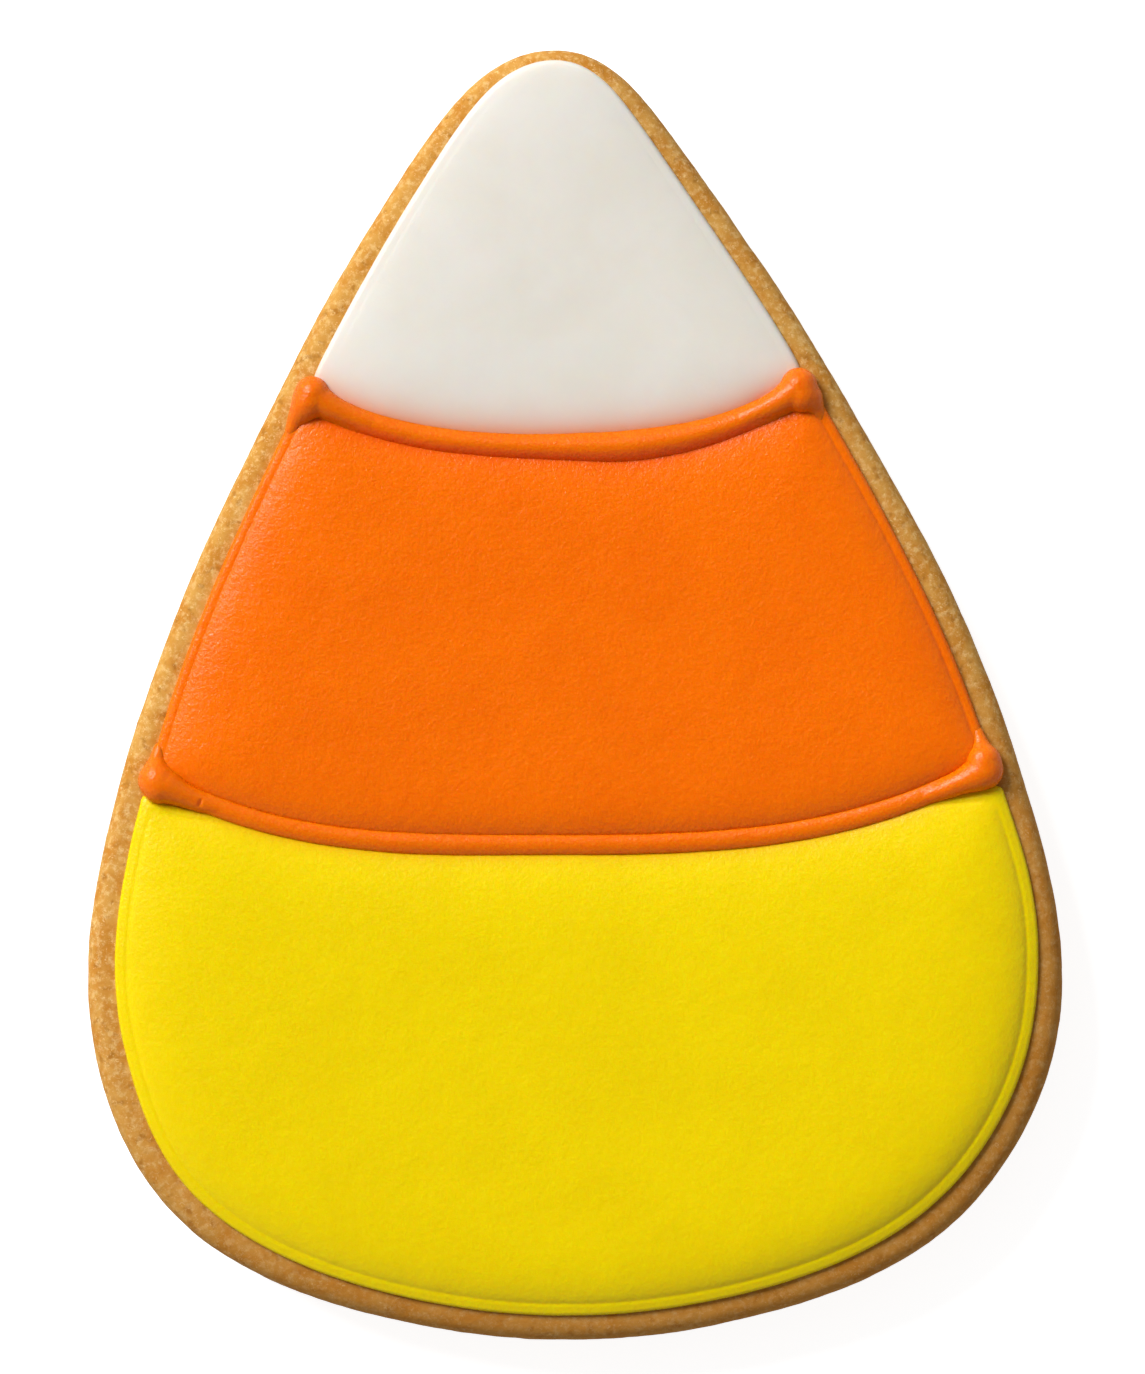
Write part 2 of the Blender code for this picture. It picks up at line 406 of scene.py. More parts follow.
class Nodes:
    """A node tree that is filled by short calls."""

    def __init__(self, tree: bpy.types.NodeTree) -> None:
        """Keeps the tree to fill."""
        self.tree = tree

    def add(self, kind: str, **settings: object) -> bpy.types.Node:
        """Adds a node.

        Args:
            kind: Its Blender name.
            **settings: Values for its own settings.

        Returns:
            The new node.
        """
        node = self.tree.nodes.new(kind)
        for name, value in settings.items():
            setattr(node, name, value)
        return node

    def feed(self, node: bpy.types.Node, **inputs: object) -> bpy.types.Node:
        """Links sockets, or sets values, to the inputs of a node.

        Args:
            node: The node.
            **inputs: A socket or value for each input, by its name with _ for a space, or by n and
                its number.

        Returns:
            The same node.
        """
        for name, value in inputs.items():
            key = int(name[1:]) if name[0] == "n" and name[1:].isdigit() else name.replace("_", " ")
            if isinstance(value, bpy.types.NodeSocket):
                self.tree.links.new(value, node.inputs[key])
            else:
                node.inputs[key].default_value = value
        return node

    def noise(self, vector: bpy.types.NodeSocket, scale: float, detail: float, harsh: float = 0.5,
              warp: float = 0.0) -> bpy.types.NodeSocket:
        """Adds a noise pattern.

        Args:
            vector: The place to read it at.
            scale: How many of its lumps a unit of that place holds.
            detail: How many finer layers it has.
            harsh: How strong the finer layers are.
            warp: How far it is bent by itself.

        Returns:
            Its value.
        """
        node = self.add("ShaderNodeTexNoise")
        self.feed(node, Vector=vector, Scale=scale, Detail=detail, Roughness=harsh, Distortion=warp)
        return node.outputs["Fac"]

    def span(self, value: bpy.types.NodeSocket, start: float, stop: float, low: float = 0.0,
             high: float = 1.0) -> bpy.types.NodeSocket:
        """Adds a soft step.

        Args:
            value: What is read.
            start: The value where the step begins.
            stop: The value where it ends.
            low: What comes out below it.
            high: What comes out above it.

        Returns:
            The stepped value.
        """
        node = self.add("ShaderNodeMapRange", interpolation_type="SMOOTHSTEP")
        self.feed(node, Value=value, From_Min=start, From_Max=stop, To_Min=low, To_Max=high)
        return node.outputs["Result"]

    def math(self, operation: str, first: object, second: object = 0.0) -> bpy.types.NodeSocket:
        """Adds a sum on one or two values and returns its result."""
        node = self.add("ShaderNodeMath", operation=operation)
        return self.feed(node, n0=first, n1=second).outputs[0]

    def blend(self, mask: object, first: object, second: object) -> bpy.types.NodeSocket:
        """Adds a blend from one colour to another.

        Args:
            mask: The share of the second colour.
            first: A colour or a socket.
            second: The same.

        Returns:
            The blended colour.
        """
        node = self.add("ShaderNodeMix", data_type="RGBA")
        colours = [
            (*colour, 1.0) if isinstance(colour, tuple) else colour for colour in (first, second)
        ]
        return self.feed(node, n0=mask, n6=colours[0], n7=colours[1]).outputs[2]

    def millimetres(self) -> bpy.types.NodeSocket:
        """Adds the place on the object.

        Returns:
            That place, in millimetres.
        """
        place = self.add("ShaderNodeTexCoord").outputs["Object"]
        node = self.add("ShaderNodeVectorMath", operation="SCALE")
        return self.feed(node, n0=place, Scale=1 / MM).outputs[0]


@dataclass(frozen=True)
class Speckle:
    """A cloudy mask over a surface.

    Attributes:
        scale: How many of its lumps a millimetre holds.
        detail: How many finer layers it has.
        harsh: How strong the finer layers are.
        start: The value of the noise where the mask begins.
        stop: The value where it is full.
        warp: How far it is bent by itself.
        share: How strongly its colour shows where it is full.
    """

    scale: float
    detail: float
    harsh: float
    start: float
    stop: float
    warp: float = 0.0
    share: float = 1.0

    def mask(self, nodes: Nodes, place: bpy.types.NodeSocket) -> bpy.types.NodeSocket:
        """Adds the mask to a node tree.

        Args:
            nodes: The tree.
            place: The place to read it at.

        Returns:
            The mask, from 0 to 1.
        """
        noise = nodes.noise(place, self.scale, self.detail, self.harsh, self.warp)
        return nodes.span(noise, self.start, self.stop)


# The parts of the icing's skin: fine crystals and soft lumps in its height, ripples that come and go,
# slow blotches in its colour and small matt spots
CRYSTALS = {"scale": 3.6, "detail": 3.0, "harsh": 0.62}
LUMPS = {"scale": 1.1, "detail": 2.0, "harsh": 0.5}
LUMP_SHARE = 0.8
RIPPLES = {"Scale": 0.55, "Distortion": 9.0, "Detail": 2.0, "Detail_Scale": 0.35}
RIPPLED_PATCHES = Speckle(scale=0.16, detail=1.0, harsh=0.5, start=0.48, stop=0.66)
BLOTCHES = Speckle(scale=0.13, detail=3.0, harsh=0.55, start=0.34, stop=0.68, warp=0.4)
MATT_SPOTS = Speckle(scale=2.6, detail=3.0, harsh=0.6, start=0.35, stop=0.7)


def icing_skin() -> bpy.types.NodeTree:
    """Makes the node group of set icing, once.

    Returns:
        A group that takes the strength of its ripples and puts out a height in 0 to 1 for the fine
        crystals and ripples, a slow blotch mask and a mask of matt spots.
    """
    group = bpy.data.node_groups.get("icing_skin")
    if group:
        return group
    group = bpy.data.node_groups.new("icing_skin", "ShaderNodeTree")
    group.interface.new_socket("Ripples", in_out="INPUT", socket_type="NodeSocketFloat")
    for name in ("Height", "Blotch", "Matt"):
        group.interface.new_socket(name, in_out="OUTPUT", socket_type="NodeSocketFloat")
    nodes = Nodes(group)
    taken = nodes.add("NodeGroupInput")
    place = nodes.millimetres()
    crystals = nodes.noise(place, **CRYSTALS)
    lumps = nodes.math("MULTIPLY", nodes.noise(place, **LUMPS), LUMP_SHARE)
    wave = nodes.add("ShaderNodeTexWave", wave_type="BANDS", bands_direction="DIAGONAL")
    nodes.feed(wave, Vector=place, **RIPPLES)
    in_patches = nodes.math("MULTIPLY", wave.outputs["Fac"], RIPPLED_PATCHES.mask(nodes, place))
    rippled = nodes.math("MULTIPLY", in_patches, taken.outputs["Ripples"])
    height = nodes.math("ADD", nodes.math("ADD", crystals, lumps), rippled)
    put = nodes.add("NodeGroupOutput")
    nodes.feed(
        put,
        Height=nodes.math("MULTIPLY", height, 0.5),
        Blotch=BLOTCHES.mask(nodes, place),
        Matt=MATT_SPOTS.mask(nodes, place),
    )
    return group


@dataclass(frozen=True)
class IcingFinish:
    """Set royal icing of one colour.

    Attributes:
        name: The name of the material.
        colour: Its colour.
        deeper: Its colour where the blotches are.
        bleed_and_shade: A colour painted where the piece's point attribute says so. On the white field it
            is the border's colour that has bled in. On the orange field and on the upper border it is
            painted shade. On the yellow field it is bled-in colour and painted shade together.
        bleed_and_shade_reach: How far in that painted colour falls to a third, in millimetres.
        bleed_and_shade_strength: Its share at the border.
        roughness: The lowest and highest roughness.
        relief: The height of its finest relief, in millimetres.
        ripples: The strength of its ripples.
        glow: The share of light that goes on under its surface.
        glow_reach: How far red light goes there, in millimetres.
        glow_colour: The shares of that way that red, green and blue light go.
        shine: How strongly its surface reflects.
    """

    name: str
    colour: Colour
    deeper: Colour
    bleed_and_shade: Colour | None = None
    bleed_and_shade_reach: float = 1.0
    bleed_and_shade_strength: float = 0.78
    roughness: tuple[float, float] = (0.24, 0.34)
    relief: float = 0.03
    ripples: float = 0.1
    glow: float = 0.4
    glow_reach: float = 0.8
    glow_colour: Colour = (1.0, 0.55, 0.3)
    shine: float = 0.2

    def material(self) -> bpy.types.Material:
        """Makes the material.

        Returns:
            The material, for one piece or more.
        """
        material = bpy.data.materials.new(self.name)
        material.use_nodes = True
        nodes = Nodes(material.node_tree)
        shader = material.node_tree.nodes["Principled BSDF"]
        skin = nodes.add("ShaderNodeGroup", node_tree=icing_skin())
        nodes.feed(skin, Ripples=self.ripples)
        colour = nodes.blend(skin.outputs["Blotch"], self.colour, self.deeper)
        # Bled-in colour and painted shade beside a border, where the piece's point attribute asks for
        # them
        if self.bleed_and_shade is not None:
            mask = nodes.add("ShaderNodeAttribute", attribute_name="bleed_and_shade").outputs["Fac"]
            colour = nodes.blend(mask, colour, self.bleed_and_shade)
        bump = nodes.add("ShaderNodeBump")
        nodes.feed(bump, Height=skin.outputs["Height"], Strength=1.0, Distance=self.relief * MM)
        nodes.feed(
            shader,
            Base_Color=colour,
            Roughness=nodes.span(skin.outputs["Matt"], 0.0, 1.0, *self.roughness),
            Normal=bump.outputs["Normal"],
            Subsurface_Weight=self.glow,
            Subsurface_Radius=self.glow_colour,
            Subsurface_Scale=self.glow_reach * MM,
            Specular_IOR_Level=self.shine,
        )
        return material


@dataclass(frozen=True)
class DoughFinish:
    """Baked sugar dough, tan with pale flecks and browner spots, browner low down, and with painted shade
    towards its lower right.

    Attributes:
        name: The name of the material.
        tan: Its main colour.
        amber: Its colour in the patches.
        brown: Its colour in the spots, and the colour of the painted shade towards the lower right.
        pale: The colour of flour and sugar in the haze, the flecks and the streaks.
        base: Its colour near the tray.
        patches: Where it is amber.
        spots: Where it is brown.
        haze: Where it is floury.
        flecks: Where a grain of sugar shows.
        fibre_noise: The noise whose middle value draws the streaks: its scale, detail, harshness and
            warp.
        fibre_width: How far from that middle value a streak goes.
        fibre_share: How strongly the streaks show.
        shade_lean: How much a millimetre to the right counts on the way to the lower right, where it is
            painted darker and browner as shade on the side away from the light, against one downwards.
        shade_from: How far that way the painted shade begins.
        shade_to: How far that way the painted shade is strongest.
        shade_share: How strong the painted shade is there.
        low_from: The height above which nothing of the base colour shows.
        low_to: The height below which that colour is strongest.
        low_share: How strong it is there.
        crumb: The fine and the coarse part of its relief, as a scale, a detail and a harshness each.
        relief: The height of its finest relief, in millimetres.
        roughness: Its roughness beside the flecks and on them.
        glow: The share of light that goes on under its surface.
        glow_reach: How far red light goes there, in millimetres.
        glow_colour: The shares of that way that red, green and blue light go.
        shine: How strongly its surface reflects.
    """

    name: str = "baked_dough"
    tan: Colour = (0.60, 0.30, 0.058)
    amber: Colour = (0.52, 0.21, 0.022)
    brown: Colour = (0.36, 0.135, 0.012)
    pale: Colour = (0.80, 0.55, 0.23)
    base: Colour = (0.34, 0.15, 0.03)
    patches: Speckle = Speckle(scale=0.5, detail=3.0, harsh=0.6, start=0.38, stop=0.66)
    spots: Speckle = Speckle(scale=1.15, detail=2.0, harsh=0.5, start=0.56, stop=0.72, share=0.75)
    haze: Speckle = Speckle(scale=1.9, detail=4.0, harsh=0.7, start=0.46, stop=0.68, share=0.48)
    flecks: Speckle = Speckle(
        scale=4.4, detail=2.0, harsh=0.5, start=0.60, stop=0.74, warp=1.2, share=0.8,
    )
    fibre_noise: tuple[float, ...] = (1.5, 2.0, 0.5, 1.6)
    fibre_width: float = 0.03
    fibre_share: float = 0.8
    shade_lean: float = 0.5
    shade_from: float = 4.0
    shade_to: float = 42.0
    shade_share: float = 0.6
    low_from: float = 3.4
    low_to: float = 0.2
    low_share: float = 0.85
    crumb: tuple[tuple[float, ...], ...] = ((3.4, 4.0, 0.65), (1.1, 2.0, 0.5))
    relief: float = 0.09
    roughness: tuple[float, float] = (0.85, 0.6)
    glow: float = 0.15
    glow_reach: float = 0.6
    glow_colour: Colour = (1.0, 0.5, 0.2)
    shine: float = 0.2

    def material(self) -> bpy.types.Material:
        """Makes the material.

        Returns:
            The material, for one piece or more.
        """
        material = bpy.data.materials.new(self.name)
        material.use_nodes = True
        nodes = Nodes(material.node_tree)
        shader = material.node_tree.nodes["Principled BSDF"]
        place = nodes.millimetres()
        axes = nodes.add("ShaderNodeSeparateXYZ")
        nodes.feed(axes, Vector=place)
        colour = nodes.blend(self.patches.mask(nodes, place), self.tan, self.amber)
        spots = self.spots.mask(nodes, place)
        colour = nodes.blend(nodes.math("MULTIPLY", spots, self.spots.share), colour, self.brown)
        haze = self.haze.mask(nodes, place)
        colour = nodes.blend(nodes.math("MULTIPLY", haze, self.haze.share), colour, self.pale)
        flecks = self.flecks.mask(nodes, place)
        colour = nodes.blend(nodes.math("MULTIPLY", flecks, self.flecks.share), colour, self.pale)
        swirl = nodes.noise(place, *self.fibre_noise)
        fibres = nodes.math("ABSOLUTE", nodes.math("SUBTRACT", swirl, 0.5))
        streaks = nodes.span(fibres, 0.0, self.fibre_width, self.fibre_share, 0.0)
        colour = nodes.blend(nodes.math("MULTIPLY", streaks, haze), colour, self.pale)
        # Painted shade: darker and browner towards the lower right, the side turned away from the light
        to_right = nodes.math("MULTIPLY", axes.outputs["X"], self.shade_lean)
        side = nodes.math("SUBTRACT", to_right, axes.outputs["Y"])
        side_shade = nodes.span(side, self.shade_from, self.shade_to, 0.0, self.shade_share)
        colour = nodes.blend(side_shade, colour, self.brown)
        low = nodes.span(axes.outputs["Z"], self.low_to, self.low_from, self.low_share, 0.0)
        colour = nodes.blend(low, colour, self.base)
        crumb = nodes.math("ADD", *(nodes.noise(place, *part) for part in self.crumb))
        crumb = nodes.math("MULTIPLY", crumb, 0.5)
        bump = nodes.add("ShaderNodeBump")
        nodes.feed(bump, Height=crumb, Strength=1.0, Distance=self.relief * MM)
        nodes.feed(
            shader,
            Base_Color=colour,
            Roughness=nodes.span(flecks, 0.0, 1.0, *self.roughness),
            Normal=bump.outputs["Normal"],
            Subsurface_Weight=self.glow,
            Subsurface_Radius=self.glow_colour,
            Subsurface_Scale=self.glow_reach * MM,
            Specular_IOR_Level=self.shine,
        )
        return material


# The pieces

class Dome:
    """How a flooded surface rises inside a ring, from 0 at the ring to 1 in its middle.

    The surface tension of wet icing rounds its corners and makes it rise fast at first. That is the
    balance of a stretched skin that is drawn up to 1 everywhere and held down at the ring.

    Attributes:
        cell: The spacing of the raster on which the surface is worked out.
        border: How many cells the raster goes on past the ring.
        passes: How often the balance is worked out again.
    """

    cell = 0.3
    border = 8
    passes = 260

    def __init__(self, ring: Ring, reach: float, lean: float) -> None:
        """Works out the surface on a raster.

        Args:
            ring: The edge that holds the surface down.
            reach: Over what width it rises by two thirds.
            lean: How much sooner it rises at the lower right than at the upper left.
        """
        self.corner = ring.min(axis=0) - self.border * self.cell
        columns, rows = np.ceil((ring.max(axis=0) - self.corner) / self.cell).astype(int) + self.border
        x, y = np.meshgrid(np.arange(columns), np.arange(rows))
        places = self.corner + np.stack([x.ravel(), y.ravel()], axis=1) * self.cell
        away, index = nearest(places, ring)
        way_in = inward(ring)[index]
        inside = np.einsum("ij,ij->i", places - ring[index], way_in) > 0
        width = reach / (1 - lean * (way_in @ LEAN_WAY))
        start = 1 - np.exp(np.where(inside, -away, np.minimum(away, reach)) / width)
        risen, inside = start.reshape(rows, columns), inside.reshape(rows, columns)
        pull = (self.cell / width.reshape(rows, columns)) ** 2
        for _ in range(self.passes):
            around = sum(np.roll(risen, step, axis) for step in (-1, 1) for axis in (0, 1))
            risen = np.where(inside, (around + pull) / (4 + pull), risen)
        self.risen = risen

    def at(self, points: np.ndarray) -> np.ndarray:
        """Reads how far the surface has risen, smoothly between the points of the raster.

        Args:
            points: Where to read it.

        Returns:
            A share from 0 to 1 for each point.
        """
        place = (points[:, :2] - self.corner) / self.cell
        near = np.rint(place).astype(int)
        x, y = (place - near).T
        up, right = np.gradient(self.risen)
        up_up, up_right = np.gradient(up)
        right_right = np.gradient(right, axis=1)
        value, up, right, up_up, up_right, right_right = (
            grid[near[:, 1], near[:, 0]] for grid in (self.risen, up, right, up_up, up_right, right_right)
        )
        bent = (right_right * x**2 + up_up * y**2) / 2 + up_right * x * y
        return np.maximum(value + right * x + up * y + bent, 0.0)


@dataclass(frozen=True)
class CookieOutline:
    """The cookie seen from above.

    Attributes:
        length: From tip to base.
        left_edge: Where the left edge stands beside the long axis, from the tip to the base, below even
            turns of a half circle on that axis.
        right_edge: The same for the right edge.
        rim: How wide the bare rim of dough is near the tip.
        rim_growth: How much wider it is at the base than near the tip.
        rim_at_tip: How wide it is right at the tip.
        rim_taper: How far below the tip it has gained two thirds of the width that it lacks there.
        rim_pinch: How much narrower it is at one place on the right.
        pinch_depth: How far below the tip that place is.
        pinch_length: How far it reaches up and down.
        base_narrowing: How much narrower it is at the base.
        base_reach: How far up from the base that reaches.
        rim_fuller: How much wider it is at one place on the left.
        fuller_depth: How far below the tip that place is.
        fuller_length: How far it reaches up and down.
    """

    length: float = 95.0
    left_edge: tuple[float, ...] = (
        -1.6, -6.4, -10.8, -15.7, -21.1, -26.7, -31.6, -35.0, -35.8, -32.9, -26.0, -14.0, -0.7,
    )
    right_edge: tuple[float, ...] = (
        -1.6, 2.9, 7.1, 12.5, 18.8, 25.3, 30.9, 34.7, 35.7, 32.2, 24.8, 12.7, -0.7,
    )
    rim: float = 1.6
    rim_growth: float = 0.55
    rim_at_tip: float = 0.85
    rim_taper: float = 4.5
    rim_pinch: float = 0.45
    pinch_depth: float = 61.0
    pinch_length: float = 7.0
    base_narrowing: float = 0.25
    base_reach: float = 5.0
    rim_fuller: float = 0.3
    fuller_depth: float = 76.0
    fuller_length: float = 6.0

    def ring(self, count: int) -> Ring:
        """Works out the cookie's edge.

        Args:
            count: How many points it has.

        Returns:
            The ring, counter-clockwise from the tip and centred in its box.
        """
        stations = np.array(self.left_edge[:-1] + self.right_edge[:0:-1])
        smooth = np.fft.irfft(np.fft.rfft(stations), count) * count / len(stations)
        turn = np.linspace(0, 2 * math.pi, count, endpoint=False)
        ring = np.stack([smooth, self.length / 2 * np.cos(turn)], axis=1)
        return ring - (ring.min(axis=0) + ring.max(axis=0)) / 2

    def iced_edge(self) -> Ring:
        """Works out where the icing ends on the cookie.

        Returns:
            The ring, counter-clockwise from the tip.
        """
        ring = self.ring(EDGE_POINTS)
        depth = self.length / 2 - ring[:, 1]
        at_tip = (self.rim - self.rim_at_tip) * np.exp(-depth / self.rim_taper)
        width = self.rim + self.rim_growth * depth / self.length - at_tip
        width = width - self.base_narrowing * np.exp(-(((self.length - depth) / self.base_reach) ** 2))
        fuller = self.rim_fuller * np.exp(-(((depth - self.fuller_depth) / self.fuller_length) ** 2))
        width = width + np.where(ring[:, 0] < 0, fuller, 0.0)
        pinch = self.rim_pinch * np.exp(-(((depth - self.pinch_depth) / self.pinch_length) ** 2))
        width = width - np.where(ring[:, 0] > 0, pinch, 0.0)
        return ring + inward(ring) * width[:, None]


@dataclass(frozen=True)
class BorderLine:
    """The course and width of a piped border that sags between two round ends.

    Attributes:
        lowest: The lowest point of its middle line.
        left: The middle of its left end.
        right: The middle of its right end.
        powers: How late the line rises to the left and to the right end.
        half_width: Half its plain width.
        swell: What its half width gains where it is thickest.
        swell_at: The x of the thickest place.
        swell_length: How far the swelling reaches.
    """

    lowest: Place
    left: Place
    right: Place
    powers: tuple[float, float]
    half_width: float
    swell: float
    swell_at: float
    swell_length: float

    def middle(self, x: np.ndarray) -> np.ndarray:
        """Works out the middle line.

        Args:
            x: Where to read it.

        Returns:
            Its Y at each x.
        """
        low_x, low_y = self.lowest
        left_of_low = x < low_x
        end_x = np.where(left_of_low, self.left[0], self.right[0])
        end_y = np.where(left_of_low, self.left[1], self.right[1])
        power = np.where(left_of_low, *self.powers)
        return low_y + (end_y - low_y) * np.abs((x - low_x) / (end_x - low_x)) ** power

    def slope(self, x: np.ndarray) -> np.ndarray:
        """Returns how steeply the middle line climbs at each x."""
        return (self.middle(x + SLOPE_STEP / 2) - self.middle(x - SLOPE_STEP / 2)) / SLOPE_STEP

    def half(self, x: np.ndarray) -> np.ndarray:
        """Returns half the width, square to the middle line, above each x."""
        return self.half_width + self.swell * np.exp(-(((x - self.swell_at) / self.swell_length) ** 2))

    def beyond(self, points: np.ndarray) -> np.ndarray:
        """Measures how far points are from the border.

        Args:
            points: The points, of which the first two numbers count.

        Returns:
            How far each is above or below the border's nearer edge, 0 on the border.
        """
        x, y = points[:, 0], points[:, 1]
        square = np.cos(np.arctan(self.slope(x)))
        return np.maximum(np.abs(y - self.middle(x)) * square - self.half(x), 0.0)

    def shaded(self, points: np.ndarray) -> np.ndarray:
        """Measures how far down across the border points lie.

        Args:
            points: The points, of which the first two numbers count.

        Returns:
            How far each is from the middle line towards the lower edge, 1 at that edge.
        """
        x, y = points[:, 0], points[:, 1]
        square = np.cos(np.arctan(self.slope(x)))
        return (self.middle(x) - y) * square / self.half(x)


UPPER_LINE = BorderLine(
    lowest=(1.6, 18.22), left=(-19.4, 21.6), right=(16.6, 22.15), powers=(3.0, 2.05),
    half_width=0.85, swell=0.34, swell_at=4.6, swell_length=6.4,
)
LOWER_LINE = BorderLine(
    lowest=(-3.7, -11.0), left=(-30.35, -6.35), right=(29.95, -5.3), powers=(3.1, 3.3),
    half_width=0.62, swell=0.07, swell_at=-10.0, swell_length=6.0,
)


@dataclass
class Dough:
    """The baked cookie: flat underneath, a soft upper edge and a tighter lower one.

    Attributes:
        outline: The cookie seen from above.
        thickness: From the underside to the top.
        upper_round: The radius of the soft upper edge.
        upper_square: How square the soft upper edge is, 2 for a plain round.
        lower_round: The radius of the edge at its foot.
        foot_draft: How far the foot stands back under the upper edge.
        foot_curve: How soon the side comes out from the foot, 1 for a straight side.
        sole: How far inside the lower edge the first rings of the underside lie.
        steps: How many rings turn round the lower edge, climb the side and turn round the upper edge.
        crown: How far in the last rings of the top lie, the innermost one under the icing.
        points: How many points each ring has.
        relief: The layers of its unevenness.
        finish: Its finish.
    """

    outline: CookieOutline = field(default_factory=CookieOutline)
    thickness: float = 7.0
    upper_round: float = 1.9
    upper_square: float = 2.8
    lower_round: float = 0.9
    foot_draft: float = 0.35
    foot_curve: float = 1.5
    sole: tuple[float, float] = (0.9, 0.4)
    steps: tuple[int, int, int] = (6, 11, 16)
    crown: tuple[float, ...] = (2.3, 2.8, 3.4, 4.2)
    points: int = 720
    relief: tuple[Relief, ...] = ((9.0, 0.2), (2.2, 0.05), (0.8, 0.06))
    finish: DoughFinish = field(default_factory=DoughFinish)

    def top_at(self, points: np.ndarray) -> np.ndarray:
        """Works out the height of the upper surface.

        Args:
            points: Where to read it.

        Returns:
            Its height at each point.
        """
        inset = np.minimum(nearest(points, self.outline.ring(EDGE_POINTS))[0], self.upper_round)
        outward = 1 - inset / self.upper_round
        fall = 1 - (1 - outward**self.upper_square) ** (1 / self.upper_square)
        return self.thickness - self.upper_round * fall

    def section(self) -> list[Place]:
        """Works out the cross section of the edge.

        Returns:
            How far in and how high each ring lies, from the underside round to the top.
        """
        foot = self.foot_draft
        shoulder = self.thickness - self.upper_round
        lower_steps, side_steps, upper_steps = self.steps
        rings = [(foot + self.lower_round + inside, 0.0) for inside in self.sole]
        for turn in np.linspace(0, math.pi / 2, lower_steps):
            inset = foot + self.lower_round * (1 - math.sin(turn))
            rings.append((inset, self.lower_round * (1 - math.cos(turn))))
        for share in np.linspace(0, 1, side_steps)[1:-1]:
            height = self.lower_round + (shoulder - self.lower_round) * share
            rings.append((foot * (1 - share) ** self.foot_curve, height))
        square = 2 / self.upper_square
        for turn in np.linspace(0, math.pi / 2, upper_steps):
            outward, upward = abs(math.cos(turn)) ** square, math.sin(turn) ** square
            rings.append((self.upper_round * (1 - outward), shoulder + self.upper_round * upward))
        rings += [(inset, self.thickness) for inset in self.crown]
        return rings

    def build(self) -> None:
        """Models the dough and puts it in the place of its solid."""
        edge = even_out(self.outline.ring(4 * self.points), self.points)
        way_in = inward(edge)
        rings = np.stack([
            np.column_stack([edge + way_in * inset, np.full(self.points, height)])
            for inset, height in self.section()
        ])
        piece = start_tower("baked_cookie", self.points, len(rings))
        numbers = shape_tower(piece, rings)
        close_with_grid(piece, numbers[0])
        close_flat(piece, numbers[-1])
        face_outwards(piece)
        for layer in self.relief:
            roughen(piece, layer)
        places = coordinates(piece)
        places[:, 2] = np.maximum(places[:, 2], 0.0)
        put_coordinates(piece, places)
        hand_over(piece, "cookie", self.finish.material())


@dataclass(frozen=True)
class Lip:
    """A stretch where the edge of a field comes out from under a border.

    Attributes:
        at: The x of its middle.
        reach: How far it goes to each side.
        lift: How far the seam moves towards the field, above 0 for the border below it.
    """

    at: float
    reach: float
    lift: float

    def shift(self, x: np.ndarray) -> np.ndarray:
        """Returns how far the seam moves at each x."""
        return self.lift * np.exp(-(((x - self.at) / self.reach) ** 2))


